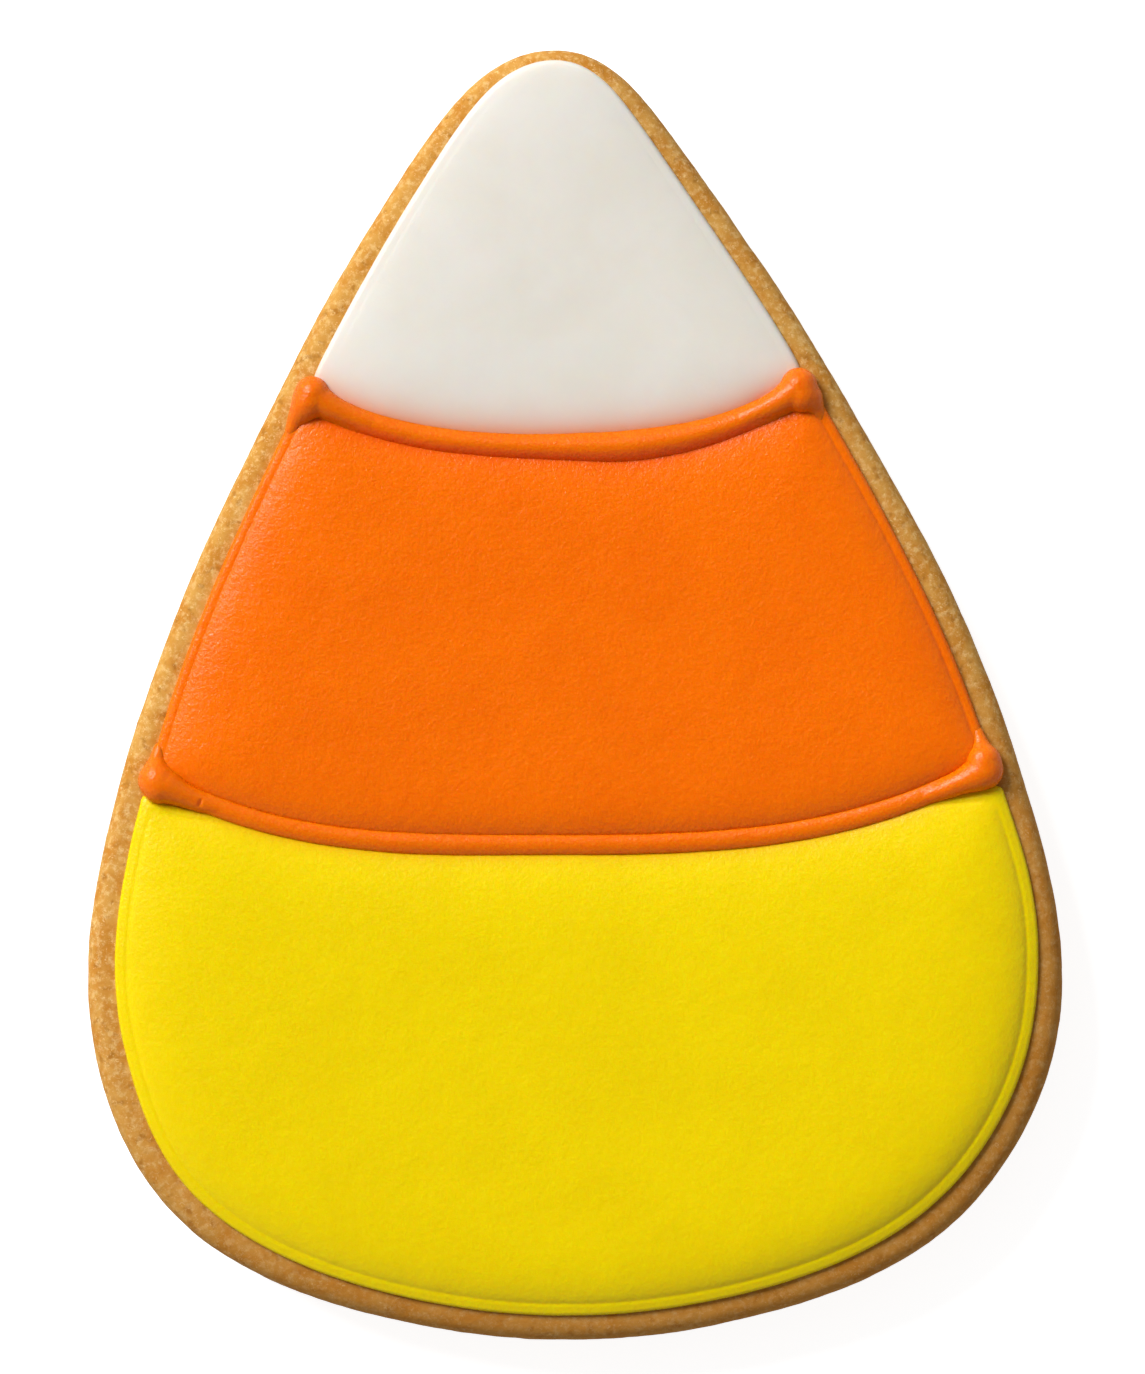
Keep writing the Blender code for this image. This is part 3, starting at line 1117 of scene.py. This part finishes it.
@dataclass
class IcingField:
    """One flooded field with the thin piped outline that held it in while it was wet.

    Attributes:
        name: The name of the piece.
        node: The solid that it replaces.
        slot: The slot of its finish; not used.
        finish: Its finish.
        dough: The cookie that it lies on.
        above: The border along its upper side, if any.
        below: The border along its lower side, if any.
        points: How many points each ring has, a multiple of 4.
        edge_height: How high its outline stands where it begins to turn level.
        edge_width: How far in that is.
        bank: How steeply the outline goes on from there.
        groove: How deep the line behind the outline is.
        groove_width: Half the width of that line.
        outline_width: How wide the outline is.
        rise: How far the flooded icing rises behind the outline.
        rise_width: Over what width it makes two thirds of that.
        lean: How much sooner it rises at its lower right than at its upper left.
        swell: What it gains from there to its middle.
        swell_reach: Over what width it gains most of that.
        corner_passes: How much its two corners beside the borders are rounded.
        corner_reach: How far from a corner the rounding reaches.
        tuck: How far it goes on under a border, past the border's middle line.
        bleed_and_shade_from: The border beside which bled-in colour, painted shade or both are painted,
            if any.
        lips: Where its seam comes out from under a border.
        foot: How deep it sits in the dough.
        grid_passes: How often the points in its middle are spread evenly.
        relief: The layers of its unevenness.
        insets: How far in each ring of points lies.
    """

    name: str
    node: str
    slot: Slot
    finish: IcingFinish
    dough: Dough
    above: BorderLine | None
    below: BorderLine | None
    points: int
    edge_height: float = 0.62
    edge_width: float = 0.34
    bank: float = 0.22
    groove: float = 0.055
    groove_width: float = 0.13
    outline_width: float = 0.75
    rise: float = 0.76
    rise_width: float = 1.35
    lean: float = 0.3
    swell: float = 0.12
    swell_reach: float = 6.0
    corner_passes: int = 6
    corner_reach: float = 4.0
    tuck: float = 0.12
    bleed_and_shade_from: BorderLine | None = None
    lips: tuple[Lip, ...] = ()
    foot: float = 0.2
    grid_passes: int = 12
    relief: tuple[Relief, ...] = ((11.0, 0.10), (2.6, 0.035))
    insets: tuple[float, ...] = (
        0.0, 0.02, 0.06, 0.12, 0.2, 0.29, 0.38, 0.48, 0.58, 0.68, 0.76, 0.83, 0.9, 0.98, 1.08, 1.3, 1.56,
        1.84, 2.14, 2.46, 2.8, 3.16, 3.54, 3.94, 4.36, 4.8, 5.26,
    )

    def edge(self) -> Ring:
        """Works out the edge of the field, with its seams under the borders.

        Returns:
            The ring, counter-clockwise from the middle of its lower side.
        """
        iced = self.dough.outline.iced_edge()
        turn = np.linspace(0, math.pi, SEAM_POINTS)
        x = (iced[:, 0].min() + iced[:, 0].max()) / 2 - np.ptp(iced[:, 0]) / 2 * np.cos(turn)
        top, bottom = half_of(iced, x, True), half_of(iced, x, False)
        shown = sum((lip.shift(x) for lip in self.lips), np.zeros_like(x))
        if self.above is not None:
            top = np.minimum(top, self.above.middle(x) + self.tuck + np.minimum(shown, 0.0))
        if self.below is not None:
            bottom = np.maximum(bottom, self.below.middle(x) - self.tuck + np.maximum(shown, 0.0))
        kept = top > bottom
        x, top, bottom = x[kept], top[kept], bottom[kept]
        ring = np.vstack([np.stack([x, bottom], axis=1), np.stack([x, top], axis=1)[::-1]])
        ring = even_out(np.roll(ring, -len(x) // 2, axis=0), self.points)
        corners = [(x[end], (top[end] + bottom[end]) / 2) for end in (0, -1)]
        away = np.min([np.hypot(*(ring - corner).T) for corner in corners], axis=0)
        share = np.exp(-((away / self.corner_reach) ** 4))[:, None]
        return even_out(ring + (relaxed(ring, self.corner_passes) - ring) * share, self.points)

    def height(self, inset: np.ndarray, risen: np.ndarray) -> np.ndarray:
        """Works out the height of the icing over the dough.

        Args:
            inset: Distances from the field's edge.
            risen: How far the flooded icing has risen there, from 0 to 1.

        Returns:
            A height for each.
        """
        wall = self.edge_height * np.sqrt(1 - np.clip(1 - inset / self.edge_width, 0, 1) ** 2)
        bank = self.bank * np.clip(inset - self.edge_width, 0, self.outline_width - self.edge_width)
        beyond = np.maximum(inset - self.outline_width, 0)
        line = self.groove * np.exp(-(((inset - self.outline_width) / self.groove_width) ** 2))
        flood = np.where(beyond > 0, self.rise * risen, 0.0)
        return wall + bank - line + flood + self.swell * (1 - np.exp(-((beyond / self.swell_reach) ** 2)))

    def build(self) -> bpy.types.Object:
        """Models the field, up to its relief.

        Returns:
            The new piece.
        """
        ring, taken = self.edge(), 0.0
        dome = Dome(shrink(ring, self.outline_width), self.rise_width, self.lean)
        under = np.column_stack([ring, self.dough.top_at(ring) - self.foot])
        rings = [under]
        for inset in self.insets:
            ring = shrink(ring, inset - taken) if inset > taken else ring
            taken = inset
            height = self.height(np.full(self.points, inset), dome.at(ring))
            rings.append(np.column_stack([ring, self.dough.top_at(ring) + height]))
        piece = start_tower(self.name, self.points, len(rings))
        numbers = shape_tower(piece, np.stack(rings))
        inner = close_with_grid(piece, numbers[-1])
        close_flat(piece, numbers[0])
        smooth_sideways(piece, inner, self.grid_passes)
        places = coordinates(piece)
        depth = taken + nearest(places[inner], ring)[0]
        places[inner, 2] = self.dough.thickness + self.height(depth, dome.at(places[inner]))
        put_coordinates(piece, places)
        face_outwards(piece)
        self.bleed_and_shade(piece)
        return piece

    def bleed_and_shade(self, piece: bpy.types.Object) -> None:
        """Notes on each point how much of its finish's painted border colour it gets: bled-in colour on
        the white field, painted shade on the orange field, and both on the yellow field.

        Args:
            piece: The field's piece.
        """
        if self.bleed_and_shade_from is None:
            return
        # The bled-in colour and painted shade fade with the distance from the border
        away = self.bleed_and_shade_from.beyond(coordinates(piece))
        amount = self.finish.bleed_and_shade_strength * np.exp(-away / self.finish.bleed_and_shade_reach)
        note(piece, "bleed_and_shade", amount)

    def dress(self, piece: bpy.types.Object) -> None:
        """Gives the field its slight unevenness and its finish, and puts it in the solid's place.

        Args:
            piece: The field's piece.
        """
        for layer in self.relief:
            roughen(piece, layer)
        hand_over(piece, self.node, self.finish.material())


@dataclass(frozen=True)
class Bead:
    """A round of piped icing.

    Attributes:
        x: The x of its middle.
        y: The y of its middle.
        radius: Its radius.
        crest: How high its top is over the dough.
    """

    x: float
    y: float
    radius: float
    crest: float


@dataclass(frozen=True)
class Dent:
    """A small long flaw in a piped border.

    Attributes:
        x: The x of its middle.
        y: The y of its middle.
        turn: Its direction, in degrees from the x axis.
        length: Half its length.
        width: Half its width.
        depth: How deep it is.
    """

    x: float
    y: float
    turn: float
    length: float
    width: float
    depth: float

    def press(self, piece: bpy.types.Object) -> None:
        """Presses the flaw into the upper side of a piece.

        Args:
            piece: The piece.
        """
        places = coordinates(piece)
        along = np.array([math.cos(math.radians(self.turn)), math.sin(math.radians(self.turn))])
        away = places[:, :2] - (self.x, self.y)
        lengthwise, sideways = away @ along, away @ (-along[1], along[0])
        share = np.exp(-((lengthwise / self.length) ** 4) - (sideways / self.width) ** 2)
        upper = places[:, 2] > np.median(places[:, 2])
        places[:, 2] -= np.where(upper, self.depth * share, 0.0)
        put_coordinates(piece, places)


@dataclass
class PipedBorder:
    """A piped rope of icing with a lump at each end.

    Attributes:
        name: The name of the piece.
        node: The solid that it replaces.
        line: Its course and width.
        strands: The lumps at its ends, each a row of beads that run into one another.
        dough: The cookie that it lies on.
        finish: Its finish.
        around: How many points each cross section has.
        spacing: How far apart the cross sections are.
        crest_base: The height over the dough that a border without width would have.
        crest_per_width: What each millimetre of half width adds to it.
        level: How high the icing beside it stands.
        flare: How much wider it is under that icing.
        arch_power: How square its arch is, 2 for a parabola.
        foot: How deep it sits in the dough.
        painted_shade_start: How far from its ends the painted shade on its lower side begins, a deeper
            and redder colour.
        painted_shade_edge: Where that painted shade begins across it, 0 for its middle and 1 for its
            lower edge.
        painted_shade_share: How strong that painted shade is.
        dents: Its small flaws.
        bead_spacing: How far apart the balls are that make up the lumps.
        ball_faces: How many faces a ball has round it and up it.
        ball_height: Half a ball's height for each millimetre of its radius.
        ball_share: The most of its crest's height that this may be.
        voxel: The size of the faces that join rope and lumps.
        soft_passes: How often these faces are smoothed.
        relief: Its unevenness.
    """

    name: str
    node: str
    line: BorderLine
    strands: Sequence[Sequence[Bead]]
    dough: Dough
    finish: IcingFinish
    around: int = 32
    spacing: float = 0.3
    crest_base: float = 0.7
    crest_per_width: float = 0.75
    level: float = 0.85
    flare: float = 1.2
    arch_power: float = 2.0
    foot: float = 0.2
    painted_shade_start: float = 2.0
    painted_shade_edge: float = 0.1
    painted_shade_share: float = 1.0
    dents: Sequence[Dent] = ()
    bead_spacing: float = 0.2
    ball_faces: tuple[int, int] = (32, 20)
    ball_height: float = 1.1
    ball_share: float = 0.75
    voxel: float = 0.095
    soft_passes: int = 14
    relief: Relief = (3.0, 0.06)

    def crest(self, half: np.ndarray) -> np.ndarray:
        """Returns the height over the dough for half a width."""
        return self.crest_base + self.crest_per_width * half

    def rope(self) -> bpy.types.Object:
        """Models the plain rope, from arched cross sections square to its middle line.

        Returns:
            The new piece, closed at both ends.
        """
        count = round((self.line.right[0] - self.line.left[0]) / self.spacing)
        x = np.linspace(self.line.left[0], self.line.right[0], count)
        y = self.line.middle(x)
        half = self.line.half(x)
        slope = np.gradient(y, x)
        across = np.stack([-slope, np.ones_like(slope)], axis=1) / np.hypot(1, slope)[:, None]
        turn = np.linspace(0, 2 * math.pi, self.around, endpoint=False)
        side, lift = np.cos(turn), np.sin(turn)
        rings = np.empty((count, self.around, 3))
        bulge = 1 - (self.flare * np.abs(side)) ** self.arch_power
        for index in range(count):
            arch = self.level + (self.crest(half[index]) - self.level) * bulge
            base = np.minimum(arch, -lift * self.foot)
            sideways = np.outer(side * half[index] * self.flare, across[index])
            rings[index, :, :2] = (x[index], y[index]) + sideways
            rings[index, :, 2] = self.dough.thickness + np.where(lift >= -NOTHING, arch, base)
        piece = start_tower(self.name, self.around, count)
        numbers = shape_tower(piece, rings)
        close_flat(piece, numbers[0])
        close_flat(piece, numbers[-1])
        face_outwards(piece)
        return piece

    def lumps(self) -> list[bpy.types.Object]:
        """Models the lumps at the ends as rows of overlapping balls.

        Returns:
            The balls.
        """
        balls = []
        segments, ring_count = self.ball_faces
        for strand in self.strands:
            knots = np.array([(bead.x, bead.y, bead.radius, bead.crest) for bead in strand])
            travelled = np.concatenate([[0.0], np.cumsum(np.hypot(*np.diff(knots[:, :2], axis=0).T))])
            places = np.linspace(0, travelled[-1], math.ceil(travelled[-1] / self.bead_spacing) + 1)
            for x, y, radius, crest in zip(*(np.interp(places, travelled, column) for column in knots.T)):
                tall = min(self.ball_height * radius, self.ball_share * crest)
                middle = self.dough.thickness + crest - tall
                deselect_all()
                bpy.ops.mesh.primitive_uv_sphere_add(
                    segments=segments, ring_count=ring_count, radius=MM,
                    location=(x * MM, y * MM, middle * MM), scale=(radius, radius, tall),
                )
                balls.append(bpy.context.object)
        return balls

    def build(self) -> None:
        """Models the border in one skin and puts it in the place of its solid."""
        piece = self.rope()
        balls = self.lumps()
        deselect_all()
        for ball in balls:
            ball.select_set(True)
        piece.select_set(True)
        bpy.context.view_layer.objects.active = piece
        bpy.ops.object.join()
        skin = piece.modifiers.new("skin", "REMESH")
        skin.mode = "VOXEL"
        skin.voxel_size = self.voxel * MM
        bpy.ops.object.modifier_apply(modifier=skin.name)
        soft = piece.modifiers.new("soft", "SMOOTH")
        soft.factor = 0.5
        soft.iterations = self.soft_passes
        bpy.ops.object.modifier_apply(modifier=soft.name)
        for dent in self.dents:
            dent.press(piece)
        roughen(piece, self.relief)
        places = coordinates(piece)
        # Painted shade: a deeper, redder colour on the rope's lower side, which faces away from the
        # light, fading out towards the lumps
        from_end = np.minimum(places[:, 0] - self.line.left[0], self.line.right[0] - places[:, 0])
        lower = np.clip((self.line.shaded(places) - self.painted_shade_edge) / (1 - self.painted_shade_edge), 0.0, 1.0)
        fading = np.clip((from_end - self.painted_shade_start) / self.painted_shade_start, 0.0, 1.0)
        note(piece, "bleed_and_shade", self.painted_shade_share * self.finish.bleed_and_shade_strength * lower * fading)
        hand_over(piece, self.node, self.finish.material())


@dataclass
class Studio:
    """A pale floor, soft light and a camera that looks straight down.

    Attributes:
        look_at: Where the camera looks, in millimetres.
        distance: How far the camera is above that place.
        view_length: The longer side of what it sees there.
        sensor: The longer side of its sensor.
        clip: The nearest and the furthest that it sees, in metres.
        floor_size: The side of the floor, in metres.
        floor_colour: The floor's colour.
        floor_roughness: The floor's roughness.
        floor_glow: How much the camera sees the floor glow, as paper on a light table.
        light_colour: The colour of all light.
        sky: The strength of the light from all sides.
        sky_overhead: The same straight up, where the camera's hood is.
        hood_edge: How far up, as the sine of the height, the hood begins to dim it.
        sun: The strength of the window's light.
        sun_spread: How wide the window is, as an angle.
        sun_height: How high it stands.
        sun_turn: Where it stands, counter-clockwise from the right.
    """

    look_at: tuple[float, float, float] = (-0.185, 0.591, 3.4)
    distance: float = 700.0
    view_length: float = 101.5
    sensor: float = 36.0
    clip: tuple[float, float] = (0.01, 20.0)
    floor_size: float = 4.0
    floor_colour: Colour = (0.60, 0.60, 0.60)
    floor_roughness: float = 0.9
    floor_glow: float = 0.84
    light_colour: Colour = (1.0, 0.995, 0.985)
    sky: float = 0.44
    sky_overhead: float = 0.06
    hood_edge: float = 0.55
    sun: float = 3.9
    sun_spread: float = math.radians(28)
    sun_height: float = math.radians(38)
    sun_turn: float = math.radians(134)

    def build_floor(self) -> None:
        """Lays the floor that the cookie rests on."""
        deselect_all()
        bpy.ops.mesh.primitive_plane_add(size=self.floor_size)
        floor = bpy.context.object
        floor.name = "floor"
        material = bpy.data.materials.new("pale_floor")
        material.use_nodes = True
        shader = material.node_tree.nodes["Principled BSDF"]
        shader.inputs["Base Color"].default_value = (*self.floor_colour, 1.0)
        shader.inputs["Roughness"].default_value = self.floor_roughness
        shader.inputs["Specular IOR Level"].default_value = 0.0
        shader.inputs["Emission Color"].default_value = (1.0, 1.0, 1.0, 1.0)
        seen = material.node_tree.nodes.new("ShaderNodeLightPath").outputs["Is Camera Ray"]
        glow = material.node_tree.nodes.new("ShaderNodeMath")
        glow.operation = "MULTIPLY"
        glow.inputs[1].default_value = self.floor_glow
        material.node_tree.links.new(seen, glow.inputs[0])
        material.node_tree.links.new(glow.outputs[0], shader.inputs["Emission Strength"])
        floor.data.materials.append(material)

    def build_light(self) -> None:
        """Lights the cookie softly from its upper left, with a pale sky all round."""
        world = bpy.data.worlds.new("soft_sky")
        world.use_nodes = True
        sky = world.node_tree.nodes["Background"]
        nodes = Nodes(world.node_tree)
        way = nodes.add("ShaderNodeSeparateXYZ")
        nodes.feed(way, Vector=nodes.add("ShaderNodeTexCoord").outputs["Generated"])
        nodes.feed(
            sky,
            Color=(*self.light_colour, 1.0),
            Strength=nodes.span(way.outputs["Z"], self.hood_edge, 1.0, self.sky, self.sky_overhead),
        )
        bpy.context.scene.world = world
        light = bpy.data.lights.new("window_light", "SUN")
        light.energy = self.sun
        light.angle = self.sun_spread
        light.color = self.light_colour
        lamp = bpy.data.objects.new("window_light", light)
        flat = math.cos(self.sun_height)
        towards = Vector((
            flat * math.cos(self.sun_turn), flat * math.sin(self.sun_turn), math.sin(self.sun_height),
        ))
        lamp.rotation_euler = towards.to_track_quat("Z", "Y").to_euler()
        bpy.context.scene.collection.objects.link(lamp)

    def build_camera(self) -> None:
        """Hangs the camera over the cookie."""
        camera = bpy.data.cameras.new("camera")
        camera.lens = self.sensor * self.distance / self.view_length
        camera.sensor_width = self.sensor
        camera.clip_start, camera.clip_end = self.clip
        holder = bpy.data.objects.new("camera", camera)
        x, y, z = self.look_at
        holder.location = (x * MM, y * MM, (z + self.distance) * MM)
        bpy.context.scene.collection.objects.link(holder)
        bpy.context.scene.camera = holder

    def build(self) -> None:
        """Sets up floor, light and camera."""
        self.build_floor()
        self.build_light()
        self.build_camera()
        view = bpy.context.scene.view_settings
        view.view_transform = "Standard"
        view.look = "None"
        log.info("studio: floor, light and camera")


# The finish of each kind of icing. Each has a colour that is painted beside a border. On the white field
# it is the border's colour that has bled in. On the orange field it is painted shade under the upper
# border.
# On the yellow field it is bled-in colour and painted shade under the lower border. On a border it is the
# redder painted shade of its lower side.
WHITE_ICING = IcingFinish(
    name="white_icing", colour=(0.76, 0.73, 0.675), deeper=(0.74, 0.705, 0.635), bleed_and_shade=(0.80, 0.20, 0.05),
    roughness=(0.34, 0.44), ripples=0.0,
)
# The dark red colour beside the border is painted shade under the upper rope
ORANGE_ICING = IcingFinish(
    name="orange_icing", colour=(0.92, 0.168, 0.0), deeper=(0.89, 0.155, 0.0), bleed_and_shade=(0.72, 0.045, 0.0),
    bleed_and_shade_reach=0.45, bleed_and_shade_strength=0.55, roughness=(0.22, 0.32), relief=0.13, ripples=0.25,
)
# The dark orange colour beside the border is bled-in colour together with painted shade under the lower
# rope
YELLOW_ICING = IcingFinish(
    name="yellow_icing", colour=(0.84, 0.645, 0.0), deeper=(0.82, 0.62, 0.0), bleed_and_shade=(0.66, 0.25, 0.0),
    bleed_and_shade_reach=0.43, bleed_and_shade_strength=0.87, relief=0.08,
)
# The redder colour is painted shade on a rope's lower side
ORANGE_PIPING = IcingFinish(
    name="orange_piping", colour=(0.83, 0.168, 0.0), deeper=(0.80, 0.155, 0.0), bleed_and_shade=(1.0, 0.085, 0.0),
    bleed_and_shade_strength=0.9, relief=0.10, glow=0.6, glow_reach=0.7, shine=0.24,
)

# The lumps at the borders' ends: at each end a round one, a run out along the rope and a tail that
# sinks into the outline of the field below or above
UPPER_ENDS = (
    (Bead(-19.3, 22.1, 1.33, 1.95), Bead(-19.5, 21.5, 1.33, 1.95)),
    (Bead(-18.9, 21.7, 1.15, 1.85), Bead(-17.9, 21.1, 0.98, 1.7), Bead(-16.6, 20.5, 0.84, 1.52),
     Bead(-15.2, 20.0, 0.76, 1.4)),
    (Bead(-19.8, 21.1, 1.1, 1.7), Bead(-20.5, 20.2, 0.66, 1.0), Bead(-20.95, 19.2, 0.42, 0.66)),
    (Bead(16.45, 22.68, 1.38, 1.95), Bead(16.65, 22.0, 1.36, 1.95)),
    (Bead(16.0, 22.2, 1.18, 1.9), Bead(15.1, 21.62, 0.98, 1.75), Bead(13.9, 20.98, 0.86, 1.6),
     Bead(12.5, 20.35, 0.8, 1.45)),
    (Bead(17.05, 21.85, 1.15, 1.7), Bead(17.6, 21.15, 0.7, 1.0), Bead(18.1, 20.2, 0.42, 0.66)),
)
LOWER_ENDS = (
    (Bead(-30.68, -6.3, 1.42, 1.9), Bead(-30.5, -6.6, 1.4, 1.9)),
    (Bead(-30.0, -6.7, 1.28, 1.85), Bead(-28.9, -7.25, 0.96, 1.6), Bead(-27.4, -7.9, 0.76, 1.28),
     Bead(-25.9, -8.4, 0.6, 1.02)),
    (Bead(-30.75, -5.75, 1.05, 1.65), Bead(-30.72, -4.9, 0.62, 1.0), Bead(-30.55, -3.9, 0.42, 0.66)),
    (Bead(30.02, -5.5, 1.46, 1.9), Bead(30.02, -4.85, 1.3, 1.85)),
    (Bead(29.6, -5.8, 1.3, 1.85), Bead(28.4, -6.35, 0.96, 1.6), Bead(26.9, -7.0, 0.78, 1.28),
     Bead(25.3, -7.65, 0.6, 1.02)),
    (Bead(29.9, -4.3, 0.95, 1.45), Bead(29.8, -3.6, 0.6, 1.0), Bead(29.55, -2.7, 0.42, 0.66)),
)


def main() -> None:
    """Builds the cookie piece by piece, and then the studio."""
    logging.basicConfig(level=logging.INFO, format="%(message)s")
    dough = Dough()
    dough.build()
    fields = (
        IcingField(
            "white_field", "white_icing", Slot.WHITE, WHITE_ICING, dough, None, UPPER_LINE, 400,
            edge_height=0.6, edge_width=0.42, bank=0.25, groove=0.012, rise=0.5, rise_width=1.7, tuck=0.5,
            corner_passes=70, bleed_and_shade_from=UPPER_LINE,
            lips=(Lip(-18.2, 1.8, 0.95), Lip(15.2, 2.3, 1.15)),
        ),
        IcingField(
            "orange_field", "orange_icing", Slot.ORANGE, ORANGE_ICING, dough, UPPER_LINE, LOWER_LINE, 576,
            # Painted shade under the upper border
            bleed_and_shade_from=UPPER_LINE,
        ),
        IcingField(
            "yellow_field", "yellow_icing", Slot.YELLOW, YELLOW_ICING, dough, LOWER_LINE, None, 640,
            edge_height=0.5, edge_width=0.3, bank=0.4, groove=0.06, groove_width=0.16, outline_width=0.88,
            # Bled-in colour and painted shade under the lower border
            rise=0.98, rise_width=1.95, corner_passes=24, bleed_and_shade_from=LOWER_LINE,
            lips=(
                Lip(-30.0, 3.0, -1.35), Lip(-34.2, 1.9, -5.5),
                Lip(30.0, 2.8, -1.5), Lip(33.4, 1.8, -4.6),
            ),
        ),
    )
    for icing in fields:
        icing.dress(icing.build())
    for border in (
        PipedBorder("upper_rope", "upper_border", UPPER_LINE, UPPER_ENDS, dough, ORANGE_PIPING),
        PipedBorder(
            "lower_rope", "lower_border", LOWER_LINE, LOWER_ENDS, dough, ORANGE_PIPING,
            # No painted shade on the lower rope's lower side
            crest_base=0.58, painted_shade_share=0.0, dents=(Dent(-27.5, -7.9, 72.0, 0.28, 0.11, 0.14),),
        ),
    ):
        border.build()
    Studio().build()


if __name__ == "__main__":
    main()
